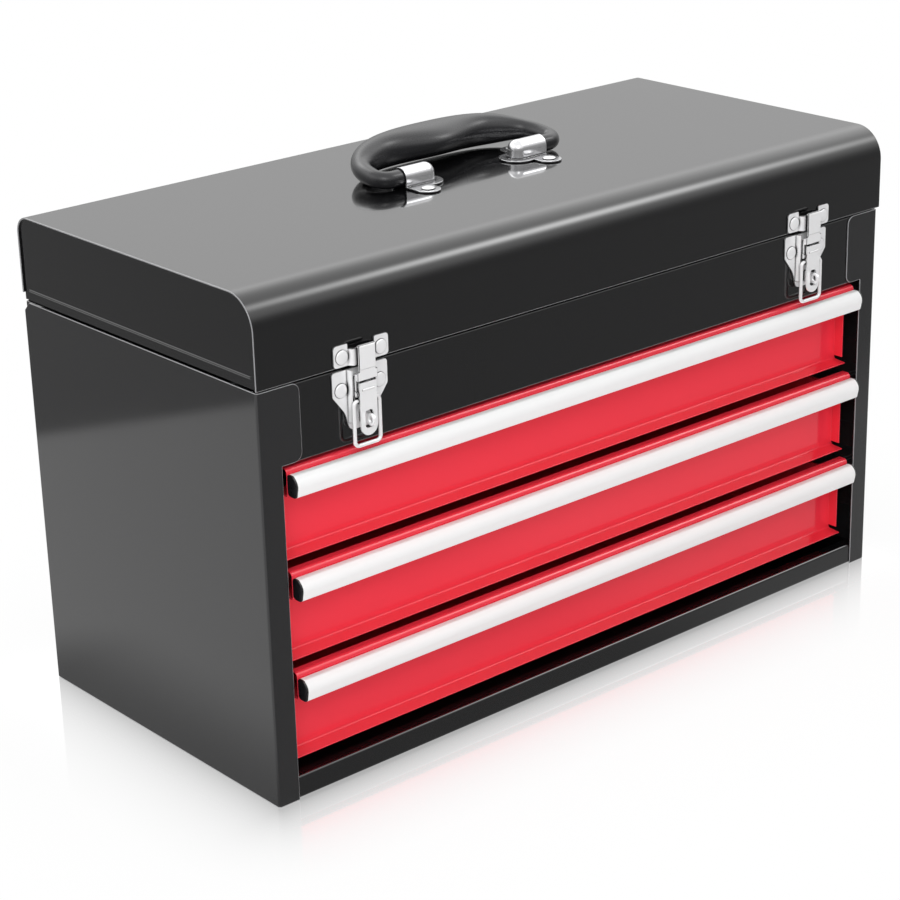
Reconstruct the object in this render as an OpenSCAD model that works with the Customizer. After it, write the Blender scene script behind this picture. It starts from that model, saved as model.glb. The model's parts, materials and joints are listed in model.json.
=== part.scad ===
// Portable tool box: steel cabinet with three drawers, a lidded top compartment,
// two draw latches and a folding carrying handle. Millimetres, +Z up, front towards -Y.
// The origin is on the floor under the middle of the cabinet.

/* [Cabinet] */
// Outside width of the cabinet
body_w = 520; // [440:5:600]
// Outside depth of the cabinet
body_d = 238; // [210:2:280]
// Thickness of the painted steel sheet
sheet = 1; // [0.8:0.1:1.2]
// Outside radius of the folded sheet corners
bend = 2; // [1.6:0.1:3]
// Height of the rail under the drawers
rail_h = 14.5; // [8:0.5:24]
// Height of the panel in front of the top compartment
fascia_h = 47.5; // [47:0.5:70]
// Width of the flange at each side of the drawers
flange_w = 15; // [12:0.5:20]
// Reach of the side panel's top tab over the front panel
tab_w = 29.3; // [24:0.5:34]
// Corner radius of the top tab
tab_r = 5.5; // [2:0.5:8]
// Depth of the folded stiffening edges
hem = 8; // [6:0.5:10]

/* [Drawers] */
// Height of a drawer front from lip to nose
drawer_h = 57.5; // [56:0.5:80]
// Gap between two drawer fronts
drawer_gap = 5.7; // [3:0.1:8]
// Gap between the rail and the lowest drawer
bottom_gap = 7.9; // [4:0.1:12]
// Gap between the top drawer and the front panel
top_gap = 2.2; // [0.5:0.1:4]
// Gap between the drawer's end and the side flange
side_gap = 4; // [3:0.5:6]
// How far the drawer face lies behind the cabinet front
face_recess = 16.7; // [14:0.1:20]
// Length of the lip under the drawer face
lip_d = 9.7; // [6:0.1:11]
// Radius of the rounded nose at the drawer's top
nose_r = 3; // [2.4:0.1:5]
// Height that the tray's edge lies under the front's top
tray_drop = 10.5; // [9:0.5:15]
// Thickness of the drawer sheet
tray_sheet = 0.8; // [0.6:0.1:1]
// Width of the edge that slides in the runner
slide_lip = 6.5; // [5:0.5:8]
// Running gap around the sliding edge
slide_gap = 0.3; // [0.2:0.05:0.4]

/* [Drawer pulls] */
// Height of the pull strip
pull_h = 13.1; // [12:0.1:16]
// How far the pull stands in front of the cabinet
pull_proud = 7; // [6:0.1:9]
// How far the pull reaches behind the cabinet front
pull_back = 2; // [1.8:0.1:4]
// Height of red sheet showing above the pull
pull_drop = 2.9; // [2:0.1:4]
// Wall of the pull strip
pull_wall = 1.8; // [1.4:0.1:2.2]
// Thickness of the pull's black end plug
plug_t = 1.2; // [0.8:0.1:2]

/* [Lid] */
// Height of the lid
lid_h = 53.8; // [44:0.1:70]
// Gap between the cabinet and the lid
lid_gap = 1.2; // [1:0.1:3]
// Overhang of the lid at each end
lid_over = 1; // [1:0.1:2.5]
// Radius along the lid's front edge
lid_front_r = 21; // [12:0.5:28]
// Radius along the lid's back edge
lid_back_r = 11; // [6:0.5:20]
// How far the end panels lie inside the lid's edge
end_inset = 1.5; // [1:0.1:3]

/* [Hinge] */
// Length of one hinge knuckle
knuckle = 25; // [18:0.5:30]
// Number of knuckles
knuckles = 19; // [11:2:19]
// Radius of the hinge barrel
barrel_r = 2.5; // [2.2:0.1:2.5]
// Radius of the hinge pin
hinge_pin_r = 1.2; // [0.9:0.05:1.3]
// Width of each hinge leaf
leaf_w = 18; // [14:0.5:22]

/* [Handle] */
// Distance between the outer ends of the two brackets
bracket_span = 118; // [108:1:126]
// Length of a bracket's straight arch
bracket_len = 19.5; // [17:0.5:24]
// Thickness of the bracket sheet
bracket_t = 1.3; // [1:0.1:1.6]
// Radius of the handle's turned-in ends
leg_r = 5.2; // [4.5:0.1:5.6]
// Height of the handle's pivot above the lid
leg_up = 6.3; // [6.2:0.1:8]
// Place of the pivot behind the middle of the cabinet, negative in front of it
leg_y = -3; // [-8:1:14]
// Half width of the handle loop
loop_half = 73.5; // [69.5:0.5:80]
// Reach of the grip's axis from the pivot
grip_reach = 45.5; // [44:0.5:62]
// Gap between the grip and the lid
grip_gap = 2.5; // [0.4:0.1:4]
// Half the height of the grip in the middle
grip_r = 10.6; // [8:0.1:11]
// How far the grip swells inwards in the middle
swell = 10; // [0:0.5:12]
// Radius of the arms halfway
arm_r = 6.2; // [5.7:0.1:7]

/* [Latches] */
// Distance of each latch's middle from the end of the cabinet
latch_in = 72; // [60:1:90]
// Half width of the latch plates
latch_half = 20; // [18.5:0.1:22]
// Distance of the plate rivets from the latch's middle
rivet_x = 14; // [13.5:0.1:14.5]
// Thickness of the latch sheet
latch_t = 1; // [0.8:0.1:1.1]
// Height of the keeper on the lid
keeper_h = 13.5; // [13:0.1:15]
// Height of the base plate's full width part
base_h = 14.5; // [14:0.1:16]
// Length of the base plate below that
tail_h = 22; // [21.5:0.5:24]
// Half width of the lever
lever_half = 6; // [5.8:0.1:6.1]
// Length of the lever below its pivot
lever_len = 29.5; // [28.5:0.5:30]
// Radius of the lever's pivot pin
lever_pin_r = 1; // [0.8:0.05:1.1]
// Radius of the bail wire
bail_r = 1.15; // [0.9:0.05:1.2]
// Half width of the bail at the wire's middle
bail_half = 9.3; // [9.1:0.1:10]
// Length of the bail from its pivot to the bottom wire's middle
bail_len = 27; // [25:0.5:27.5]

/* [Rivets] */
// Radius of a rivet's head
rivet_head = 4.3; // [3.6:0.1:4.3]
// Height of a rivet's head
rivet_up = 1.6; // [1.2:0.1:2]
// Radius of a rivet's shank
rivet_r = 2; // [1.5:0.1:2.2]

/* [Hidden] */
$fn = 48;
// Closed gap in a pinned or riveted bore, and open gap between parts that pass each other
fit = 0.05;
clear = 0.3;
drawer_count = 3;
// Cabinet
front = -body_d / 2;
back = body_d / 2;
inside = body_w / 2 - sheet;
opening_half = body_w / 2 - flange_w;
fascia_z = rail_h + bottom_gap + drawer_count * drawer_h + (drawer_count - 1) * drawer_gap + top_gap;
body_h = fascia_z + fascia_h;
pan_up = 10;
back_flange = 12;
corner_cut = 4;
edge_gap = 0.5;
floor_z = fascia_z + sheet;
// Drawers
face_half = opening_half - side_gap;
face_y = front + face_recess;
fold_r = 1.5;
cheek_d = lip_d - 2.6;
tray_half = face_half - 4;
tray_floor_up = 2;
tray_h = drawer_h - tray_floor_up - tray_drop;
tray_back = back - sheet - 7;
runner_half = tray_half + 1.5;
pull_slant = 1.6;
pull_edge = 2.5;
pull_top_edge = 2;
spigot = 8;
runner_gap = tray_sheet + 2 * slide_gap;
runner_front = face_y + 4;
runner_back = back - sheet - back_flange - edge_gap;
// Lid
lid_half = body_w / 2 + lid_over;
lid_front = front - 1;
lid_back = back - 1;
lid_z = body_h + lid_gap;
lid_top = lid_z + lid_h;
skirt_up = 4.8;
skirt_back_z = lid_z + skirt_up;
// Hinge
hinge_y = back + barrel_r;
hinge_up = 2.8;
hinge_z = lid_z + hinge_up;
hinge_len = knuckle * knuckles;
knuckle_gap = 0.4;
// Handle
leg_z = lid_top + leg_up;
arch_r = leg_r + fit + bracket_t;
dome_x = bracket_span / 2 - bracket_len;
ear_x = dome_x + 11.5;
ear_r = 8;
ear_out = 17.5;
dome_rim = 12;
loop_start = bracket_span / 2 + 1.5;
loop_corner = 8;
loop_power = 2.45;
swell_half = 48;
start_r = leg_r + 0.3;
// Latches
latch_x = body_w / 2 - latch_in;
latch_y = front + sheet;
keeper_y = lid_front;
keeper_up = 0.3;
keeper_z = lid_z + keeper_up;
keeper_mid = keeper_z + keeper_h / 2 - 0.7;
plate_r = 2.5;
hat_foot = 8.9;
hat_top = 7.3;
hat_up = 2.6;
tail_mid = 11.5;
tail_end = 8.5;
flank_up = 3.6;
flank_foot = 9.6;
flank_lean = 1.3;
flank_t = 0.9;
flank_start = 5;
base_top = body_h - 1.3;
base_rivet_drop = 11.4;
base_rivet_z = base_top - base_rivet_drop;
pivot_out = 5.2;
pivot_y = latch_y - pivot_out;
pivot_drop = 9.9;
pivot_z = base_top - pivot_drop;
lever_out = 3.2;
lever_front = pivot_y - lever_out;
lever_up = 2.5;
link_drop = 4.2;
bail_drop = 8.1;
bail_y = pivot_y - 1;
cheek_t = 1.1;
lug_t = 1;
lug_r = 2;
lug_out = lever_half - cheek_t - clear;
link_t = 0.8;
link_half = lever_half + clear + link_t;
link_r = 2.3;
link_rise = 7.9;
link_bar_z = pivot_z - link_drop + link_rise;
link_bar_h = 5.4;
hook_half = lever_half - 0.2;
hook_top = keeper_z + keeper_h - 1.7;
window_half = 2.9;
staple_up = 9.7;
staple_z = pivot_z - lever_len + staple_up;
staple_r = 3.5;

// ---- Folded sheet ----

function unit(v) = v / norm(v);
function left_of(v) = [-v.y, v.x];
function turned(v, a) = [v.x * cos(a) - v.y * sin(a), v.x * sin(a) + v.y * cos(a)];
function spot(path, i) = [path[i].x, path[i].y];
function radius_at(path, i) = len(path[i]) > 2 ? path[i][2] : 0;

// Points of the bend at corner b between a and c, each with the direction to its left
function bend_points(a, b, c, r) =
    let (u = unit(b - a), w = unit(c - b), side = sign(cross(u, w)), ang = acos(u * w),
         run = r * tan(ang / 2), centre = b - u * run + left_of(u) * side * r,
         steps = r > 0 ? max(2, ceil(ang / 15)) : 1)
    r == 0 ? [[b, (left_of(u) + left_of(w)) / (1 + u * w)]]
    : [for (k = [0 : steps]) let (n = turned(left_of(u), side * ang * k / steps)) [centre - side * r * n, n]];

function fold_points(path) = let (last = len(path) - 1) concat(
    [[spot(path, 0), left_of(unit(spot(path, 1) - spot(path, 0)))]],
    [for (i = [1 : 1 : last - 1])
        each bend_points(spot(path, i - 1), spot(path, i), spot(path, i + 1), radius_at(path, i))],
    [[spot(path, last), left_of(unit(spot(path, last) - spot(path, last - 1)))]]);

// Section of a sheet of thickness t that lies to the left of the path
module sheet_section(path, t) {
    pts = fold_points(path);
    polygon(concat([for (q = pts) q[0]], [for (k = [len(pts) - 1 : -1 : 0]) pts[k][0] + t * pts[k][1]]));
}

// Outline with rounded corners, each given as [x, y, radius]
module rounded_outline(path) {
    n = len(path);
    polygon([for (i = [0 : n - 1])
        each [for (q = bend_points(spot(path, (i + n - 1) % n), spot(path, i),
                                   spot(path, (i + 1) % n), radius_at(path, i))) q[0]]]);
}

// Carries a Y-Z section along X from x0 to x1
module along_x(x0, x1) {
    translate([x0, 0, 0])
        rotate([90, 0, 90])
            linear_extrude(x1 - x0)
                children();
}

// Carries an X-Z outline along Y from y0 to y1
module along_y(y0, y1) {
    translate([0, y1, 0])
        rotate([90, 0, 0])
            linear_extrude(y1 - y0)
                children();
}

// Cylinder along X between x0 and x1
module rod_x(r, x0, x1, y, z) {
    translate([x0, y, z])
        rotate([0, 90, 0])
            cylinder(r = r, h = x1 - x0);
}

// Cylinder along Y between y0 and y1
module rod_y(r, y0, y1, x, z) {
    translate([x, y1, z])
        rotate([90, 0, 0])
            cylinder(r = r, h = y1 - y0);
}

// Block given by its lowest and highest corners
module block(a, b) {
    translate(a)
        cube(b - a);
}

module handed(side) {
    mirror([side > 0 ? 1 : 0, 0, 0])
        children();
}

// ---- Cabinet ----

// The left-hand side panel, mirrored for the right
module side_panel(side) {
    x0 = -body_w / 2;
    handed(side)
        color("#2b2b2d") {
            difference() {
                linear_extrude(body_h)
                    sheet_section([[x0 + flange_w, front], [x0, front, bend], [x0, back]], -sheet);
                translate([0, back, body_h])
                    rotate([45, 0, 0])
                        block([x0 - 1, -corner_cut, -corner_cut], [x0 + 2 * sheet, corner_cut, corner_cut]);
            }
            along_y(front, front + sheet)
                rounded_outline([[x0 + flange_w / 2, fascia_z + sheet], [x0 + tab_w, fascia_z + sheet, tab_r],
                    [x0 + tab_w, body_h, tab_r], [x0 + flange_w / 2, body_h]]);
            block([x0 + sheet / 2, front + sheet + 2 * bend + edge_gap, body_h - hem],
                [x0 + 2 * sheet, back - back_flange - edge_gap, body_h]);
        }
}

module back_panel() {
    color("#2b2b2d")
        linear_extrude(body_h)
            sheet_section([[-inside, back - back_flange], [-inside, back, bend],
                [inside, back, bend], [inside, back - back_flange]], -sheet);
}

module bottom_pan() {
    x0 = inside - sheet;
    y0 = front + sheet;
    y1 = back - bend;
    color("#2b2b2d") {
        along_x(-x0, x0)
            sheet_section([[y0 + hem, rail_h], [y0, rail_h, bend], [y0, 0, bend], [y1, 0, bend],
                [y1, pan_up]], sheet);
        block([-inside, y0 + bend, 0], [inside, y1 - back_flange, sheet]);
        for (s = [0, 1])
            mirror([s, 0, 0])
                block([-inside, y0 + bend, 0], [-x0, y1 - back_flange, pan_up]);
    }
}

module front_panel() {
    y0 = front + sheet;
    color("#262628")
        difference() {
            along_x(sheet - inside, inside - sheet)
                sheet_section([[y0 + hem, fascia_z], [y0, fascia_z, bend], [y0, body_h, bend],
                    [y0 + 2 * bend, body_h]], -sheet);
            for (x = [-latch_x, latch_x], dx = [-rivet_x, rivet_x])
                rod_y(rivet_r + fit, y0 - 1, y0 + 2 * sheet, x + dx, base_rivet_z);
        }
}

module compartment_floor() {
    y0 = front + sheet + bend;
    y1 = back - bend;
    x0 = inside - sheet;
    color("#2b2b2d") {
        block([-x0, y0, floor_z], [x0, y1, floor_z + sheet]);
        block([-inside, y0, floor_z], [inside, y1 - back_flange - edge_gap, floor_z + sheet]);
        block([-x0, y0, floor_z], [x0, y0 + sheet, floor_z + pan_up]);
        block([-x0, y1 - sheet, floor_z], [x0, y1, floor_z + pan_up]);
        for (s = [0, 1])
            mirror([s, 0, 0])
                block([-inside, y0, floor_z], [-x0, y1 - back_flange - edge_gap, floor_z + pan_up]);
    }
}

// ---- Drawers, numbered from the bottom ----

function drawer_z(i) = rail_h + bottom_gap + (i - 1) * (drawer_h + drawer_gap);
function slide_z(i) = drawer_z(i) + tray_floor_up + tray_h;

// Channel on the side panel that holds the drawer's sliding edge
module runner(i, side) {
    z0 = slide_z(i) - slide_gap - sheet - tray_sheet;
    z1 = z0 + runner_gap + 2 * sheet;
    handed(side)
        color("#8b8d90")
            along_y(runner_front, runner_back)
                sheet_section([[-runner_half, z0], [-inside, z0], [-inside, z1], [-runner_half, z1]], -sheet);
}

// Folded face: lip, face, step under the pull, nose and top edge
module drawer_front(i) {
    z0 = drawer_z(i);
    pull_z = z0 + drawer_h - pull_drop - pull_h;
    y_pull = front + pull_back;
    color("#e03a44")
        along_x(-face_half, face_half)
            sheet_section([[face_y - lip_d, z0 + tray_sheet], [face_y, z0 + 1 + tray_sheet, fold_r],
                [face_y, pull_z - 1, fold_r], [y_pull, pull_z - 1, fold_r], [y_pull, z0 + drawer_h, nose_r],
                [y_pull + nose_r + 4, z0 + drawer_h]], -tray_sheet);
    color("#e03a44")
        for (s = [0, 1])
            mirror([s, 0, 0])
                block([-face_half, face_y - cheek_d, z0 + 4],
                    [tray_sheet - face_half, face_y + tray_sheet, pull_z - 4]);
}

module drawer_tray(i) {
    z0 = drawer_z(i) + tray_floor_up;
    z1 = slide_z(i);
    y0 = face_y + tray_sheet;
    t = tray_sheet;
    color("#d8353f") {
        along_y(y0, tray_back)
            sheet_section([[-tray_half - slide_lip, z1], [-tray_half, z1], [-tray_half, z0, bend],
                [tray_half, z0, bend], [tray_half, z1], [tray_half + slide_lip, z1]], -t);
        block([t / 2 - tray_half, tray_back - t, z0 - t / 2], [tray_half - t / 2, tray_back, z1]);
    }
}

// Outline of the pull strip's section
module pull_section(i) {
    zb = drawer_z(i) + drawer_h - pull_drop - pull_h;
    zt = zb + pull_h;
    rounded_outline([[front + pull_back, zb, pull_edge], [front - pull_proud + pull_slant, zb, 2],
        [front - pull_proud - 0.3, zb + 0.68 * pull_h, 6], [front - 0.42 * pull_proud, zt, pull_edge],
        [front + pull_back, zt, pull_top_edge]]);
}

// Hollow of the pull strip, less a gap all round for the plug's spigot
module pull_hollow(i, gap) {
    zb = drawer_z(i) + drawer_h - pull_drop - pull_h;
    deep = pull_proud + pull_back - pull_slant - 2 * pull_wall;
    translate([front - pull_proud + pull_slant + pull_wall + gap, zb + pull_wall + gap])
        square([deep - 2 * gap, pull_h - 2.5 * pull_wall - 2 * gap]);
}

module drawer_pull(i) {
    color("#f2f2f2")
        along_x(plug_t - face_half, face_half - plug_t)
            difference() {
                pull_section(i);
                pull_hollow(i, 0);
            }
}

module drawer_plugs(i) {
    color("#161616")
        for (s = [0, 1])
            mirror([s, 0, 0]) {
                along_x(-face_half, plug_t - face_half)
                    pull_section(i);
                along_x(plug_t / 2 - face_half, spigot - face_half)
                    pull_hollow(i, fit);
            }
}

// ---- Lid ----

// The line of the lid's outer face, from the front skirt over the top to the back skirt
lid_line = [[lid_front, lid_z], [lid_front, lid_top, lid_front_r], [lid_back, lid_top, lid_back_r],
    [lid_back, skirt_back_z]];

// Everything inside the lid's line, moved in by d
module lid_inside(d) {
    pts = fold_points(lid_line);
    intersection() {
        polygon([for (q = pts) q[0] - d * q[1]]);
        translate([lid_front, lid_z + 0.5])
            square([body_d, lid_h]);
    }
    translate([lid_front + d, lid_z + 0.5])
        square([lid_back - lid_front - 2 * d, lid_front_r / 2]);
}

module lid_shell() {
    color("#3a3a3c")
        difference() {
            union() {
                along_x(-lid_half, lid_half)
                    sheet_section(lid_line, -sheet);
                block([10 - lid_half, lid_front + sheet / 2, lid_z],
                    [lid_half - 10, lid_front + hem, lid_z + sheet]);
            }
            for (x = [-latch_x, latch_x], dx = [-rivet_x, rivet_x])
                rod_y(rivet_r + fit, lid_front - 1, lid_front + 2 * sheet, x + dx, keeper_mid);
            for (x = [-ear_x, ear_x], dy = [-ear_out, ear_out])
                translate([x, leg_y + dy, lid_top - 2 * sheet])
                    cylinder(r = rivet_r + fit, h = 3 * sheet);
        }
}

// Pressed end panel with its edge turned inwards
module lid_end(side) {
    x0 = end_inset - lid_half;
    bead_r = 0.9;
    bead_in = 6;
    bead_up = 6.8;
    handed(side)
        color("#3a3a3c") {
            along_x(x0, x0 + sheet)
                lid_inside(sheet);
            along_x(x0, x0 + hem)
                difference() {
                    lid_inside(sheet);
                    lid_inside(2 * sheet);
                    translate([lid_front, lid_z - 1])
                        square([body_d, 8]);
                }
            difference() {
                translate([x0 + bead_r / 2, lid_back - bead_in, lid_z + bead_up])
                    rotate([90, 0, 0])
                        cylinder(r = bead_r, h = lid_back - lid_front - 2 * bead_in);
                block([x0 + sheet / 2, lid_front, lid_z], [x0 + 3, lid_back, lid_z + 10]);
            }
        }
}

// ---- Hinge ----

module knuckle_at(k) {
    x0 = -hinge_len / 2 + k * knuckle;
    rod_x(barrel_r, x0 + knuckle_gap / 2, x0 + knuckle - knuckle_gap / 2, hinge_y, hinge_z);
}

module hinge_bore() {
    rod_x(hinge_pin_r + fit, -hinge_len / 2 - 1, hinge_len / 2 + 1, hinge_y, hinge_z);
}

module hinge_body_leaf() {
    color("#b9bbbe")
        difference() {
            union() {
                block([-hinge_len / 2, back, hinge_z - leaf_w - barrel_r],
                    [hinge_len / 2, back + sheet, hinge_z - barrel_r - 0.6]);
                for (k = [0 : 2 : knuckles - 1]) {
                    x0 = -hinge_len / 2 + k * knuckle;
                    knuckle_at(k);
                    block([x0 + knuckle_gap / 2, back, hinge_z - barrel_r - 1],
                        [x0 + knuckle - knuckle_gap / 2, back + sheet, hinge_z]);
                }
            }
            hinge_bore();
        }
}

module hinge_lid_leaf() {
    top = hinge_z + barrel_r;
    color("#b9bbbe")
        difference() {
            union() {
                block([-hinge_len / 2, lid_back, top + 0.1], [hinge_len / 2, lid_back + sheet, top + leaf_w]);
                for (k = [1 : 2 : knuckles - 2]) {
                    x0 = -hinge_len / 2 + k * knuckle;
                    knuckle_at(k);
                    block([x0 + knuckle_gap / 2, lid_back, top - sheet],
                        [x0 + knuckle - knuckle_gap / 2, hinge_y, top]);
                    block([x0 + knuckle_gap / 2, lid_back, top - sheet],
                        [x0 + knuckle - knuckle_gap / 2, lid_back + sheet, top + 1]);
                }
            }
            hinge_bore();
        }
}

module hinge_pin() {
    color("#8b8d90")
        rod_x(hinge_pin_r, -hinge_len / 2, hinge_len / 2, hinge_y, hinge_z);
}

// ---- Latches ----

module at_latch(side) {
    translate([side * latch_x, 0, 0])
        children();
}

// Plate on the lid with a raised middle
module keeper(side) {
    top = keeper_z + keeper_h;
    at_latch(side)
        color("#d9dadc")
            difference() {
                intersection() {
                    translate([0, 0, keeper_z - 1])
                        linear_extrude(keeper_h + 2)
                            sheet_section([[-latch_half - 1, keeper_y], [-hat_foot, keeper_y, 1.3],
                                [-hat_top, keeper_y - hat_up, 0.3], [hat_top, keeper_y - hat_up, 0.3],
                                [hat_foot, keeper_y, 1.3], [latch_half + 1, keeper_y]], -latch_t);
                    along_y(keeper_y - 10, keeper_y + 1)
                        rounded_outline([[-latch_half, keeper_z, plate_r], [latch_half, keeper_z, plate_r],
                            [latch_half, top, plate_r], [-latch_half, top, plate_r]]);
                }
                for (dx = [-rivet_x, rivet_x])
                    rod_y(rivet_r + fit, keeper_y - 5, keeper_y + 1, dx, keeper_mid);
            }
}

// Plate on the front panel with raised flanks, a tail and two lugs for the lever
module latch_base(side) {
    y0 = latch_y;
    ya = y0 - latch_t / 2;
    yb = y0 - latch_t - flank_up;
    flank_x = flank_foot - flank_lean;
    low = base_top - base_h;
    at_latch(side)
        color("#d9dadc")
            difference() {
                union() {
                    along_y(y0 - latch_t, y0)
                        rounded_outline([[-latch_half, base_top, 2], [-latch_half, low, 3],
                            [-tail_mid, low - 0.5 * tail_h, 12], [-tail_end, low - tail_h, 4],
                            [tail_end, low - tail_h, 4], [tail_mid, low - 0.5 * tail_h, 12],
                            [latch_half, low, 3], [latch_half, base_top, 2]]);
                    translate([0, 0, low - tail_h + flank_start])
                        linear_extrude(base_top - low + tail_h - flank_start)
                            for (s = [-1, 1])
                                polygon([[s * flank_foot, ya], [s * flank_x, yb],
                                    [s * (flank_x - flank_t), yb], [s * (flank_foot - flank_t), ya]]);
                    for (s = [-1, 1]) {
                        x0 = s > 0 ? lug_out - lug_t : -lug_out;
                        rod_x(lug_r, x0, x0 + lug_t, pivot_y, pivot_z);
                        block([x0, pivot_y, pivot_z - lug_r], [x0 + lug_t, ya, pivot_z + lug_r]);
                    }
                }
                rod_x(lever_pin_r + fit, -lever_half, lever_half, pivot_y, pivot_z);
                for (dx = [-rivet_x, rivet_x])
                    rod_y(rivet_r + fit, y0 - 5, y0 + 1, dx, base_rivet_z);
            }
}

// Lever: a tongue with a window for the staple and two cheeks at its top
module latch_lever(side) {
    low = pivot_z - lever_len;
    at_latch(side)
        color("#d9dadc")
            difference() {
                union() {
                    along_y(lever_front, lever_front + latch_t)
                        rounded_outline([[-lever_half, pivot_z + lever_up], [lever_half, pivot_z + lever_up],
                            [lever_half, low, lever_half - 0.1], [-lever_half, low, lever_half - 0.1]]);
                    for (s = [-1, 1]) {
                        x0 = s > 0 ? lever_half - cheek_t : -lever_half;
                        block([x0, lever_front + latch_t / 2, pivot_z - bail_drop - 2.2],
                            [x0 + cheek_t, pivot_y + 1.7, pivot_z + lever_up]);
                    }
                }
                along_y(lever_front - 1, lever_front + 2)
                    rounded_outline([[-window_half, staple_z + 5.5, 2], [window_half, staple_z + 5.5, 2],
                        [window_half, staple_z - 5.3, 2], [-window_half, staple_z - 5.3, 2]]);
                rod_x(lever_pin_r + fit, -10, 10, pivot_y, pivot_z);
                rod_x(lever_pin_r + fit, -10, 10, pivot_y, pivot_z - link_drop);
                rod_x(bail_r + fit, -10, 10, bail_y, pivot_z - bail_drop);
            }
}

module lever_pin(side) {
    at_latch(side)
        color("#8b8d90")
            rod_x(lever_pin_r, -lever_half, lever_half, pivot_y, pivot_z);
}

// Draw link: two arms beside the lever, a cross bar and a claw plate in front of the keeper
module latch_hook(side) {
    plate_y = lever_front + 0.1;
    pin_z = pivot_z - link_drop;
    at_latch(side)
        color("#d9dadc")
            difference() {
                union() {
                    along_y(plate_y, plate_y + latch_t) {
                        translate([-link_half, link_bar_z])
                            square([2 * link_half, link_bar_h]);
                        translate([-hook_half, link_bar_z])
                            square([2 * hook_half, hook_top - link_bar_z]);
                    }
                    block([-hook_half, plate_y, hook_top - latch_t],
                        [hook_half, plate_y + latch_t + 0.8, hook_top]);
                    for (s = [-1, 1]) {
                        x0 = s > 0 ? link_half - link_t : -link_half;
                        rod_x(link_r, x0, x0 + link_t, pivot_y, pin_z);
                        block([x0, pivot_y - 0.6 * link_r, pin_z],
                            [x0 + link_t, pivot_y + 0.6 * link_r, link_bar_z + link_bar_h / 2]);
                        block([x0, plate_y + latch_t / 2, link_bar_z],
                            [x0 + link_t, pivot_y, link_bar_z + link_bar_h - 1]);
                    }
                }
                rod_x(lever_pin_r + fit, -10, 10, pivot_y, pin_z);
            }
}

module hook_pin(side) {
    at_latch(side)
        color("#8b8d90")
            rod_x(lever_pin_r, -link_half, link_half, pivot_y, pivot_z - link_drop);
}

// Wire bail that hangs from the lever's cheeks
module latch_bail(side) {
    zt = pivot_z - bail_drop;
    zb = zt - bail_len;
    turn = 3;
    at_latch(side)
        color("#d9dadc") {
            for (s = [0, 1])
                mirror([s, 0, 0]) {
                    rod_x(bail_r, -bail_half + turn, -lever_half + cheek_t + 0.3, bail_y, zt);
                    translate([-bail_half, bail_y, zb + turn])
                        cylinder(r = bail_r, h = zt - zb - 2 * turn);
                    for (p = [[zt - turn, 90], [zb + turn, 180]])
                        translate([-bail_half + turn, bail_y, p[0]])
                            rotate([90, 0, 0])
                                rotate([0, 0, p[1]])
                                    rotate_extrude(angle = 90)
                                        translate([turn, 0])
                                            circle(r = bail_r);
                }
            rod_x(bail_r, -bail_half + turn, bail_half - turn, bail_y, zb);
        }
}

// Padlock loop that stands through the lever's window
module staple(side) {
    eye_y = lever_front - 1.6;
    half_t = 0.8;
    at_latch(side)
        color("#d9dadc")
            difference() {
                union() {
                    rod_x(staple_r, -half_t, half_t, eye_y, staple_z);
                    block([-half_t, eye_y, staple_z - staple_r],
                        [half_t, latch_y - latch_t, staple_z + staple_r]);
                }
                rod_x(staple_r - 1.5, -2, 2, eye_y, staple_z);
            }
}

// ---- Handle ----

// Middle line of the handle from the right leg to the middle of the grip, as [x, y]
function loop_line() = concat(
    [for (a = [0 : 15 : 75])
        [loop_half - loop_corner + loop_corner * sin(a), leg_y + loop_corner * (1 - cos(a))]],
    [for (k = [0 : 18]) let (a = 90 * k / 18)
        [loop_half * pow(cos(a), 2 / loop_power),
         leg_y + loop_corner + (grip_reach - loop_corner) * pow(sin(a), 2 / loop_power)]]);

function loop_share(p) = (p.y - leg_y) / grip_reach;
function eased(s) = s * s * (3 - 2 * s);
function loop_radius(s) =
    start_r + (arm_r - start_r) * min(1, 2 * s) + (grip_r - arm_r) * eased(max(0, 2 * s - 1));
function loop_z(s) = leg_z + (lid_top + grip_r + grip_gap - leg_z) * s;
function swell_at(x) = swell * eased(max(0, 1 - abs(x) / swell_half));

module handle() {
    half = concat([[loop_start, leg_y]], loop_line());
    line = concat(half, [for (k = [len(half) - 2 : -1 : 0]) [-half[k].x, half[k].y]]);
    n = len(line);
    sides = 16;
    rings = [for (k = [0 : n - 1])
        let (s = loop_share(line[k]), r = loop_radius(s), z = loop_z(s), inner = r + swell_at(line[k].x),
             t = k == 0 || k == n - 1 ? [1, 0] : unit(line[k + 1] - line[k - 1]), w = left_of(t))
        for (j = [0 : sides - 1])
            let (a = 360 * j / sides, d = (cos(a) > 0 ? inner : r) * cos(a))
            [line[k].x + w.x * d, line[k].y + w.y * d, z + r * sin(a)]];
    color("#1b1b1c") {
        polyhedron(points = rings, faces = concat(
            [for (k = [0 : n - 2], j = [0 : sides - 1])
                let (a = k * sides + j, b = k * sides + (j + 1) % sides)
                each [[a, b + sides, b], [a, a + sides, b + sides]]],
            [[for (j = [0 : sides - 1]) j]],
            [[for (j = [sides - 1 : -1 : 0]) (n - 1) * sides + j]]));
        for (s = [0, 1])
            mirror([s, 0, 0])
                rod_x(leg_r, dome_x + 0.5, loop_start + 1, leg_y, leg_z);
    }
}

// Arch and closed dome of a bracket with outer radius r, from the lid up
module bracket_arch(r, x1) {
    rod_x(r, dome_x, x1, leg_y, leg_z);
    block([dome_x, leg_y - r, lid_top], [x1, leg_y + r, leg_z]);
    translate([dome_x, leg_y, leg_z])
        sphere(r = r);
    translate([dome_x, leg_y, lid_top])
        cylinder(r = r, h = leg_z - lid_top);
}

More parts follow.
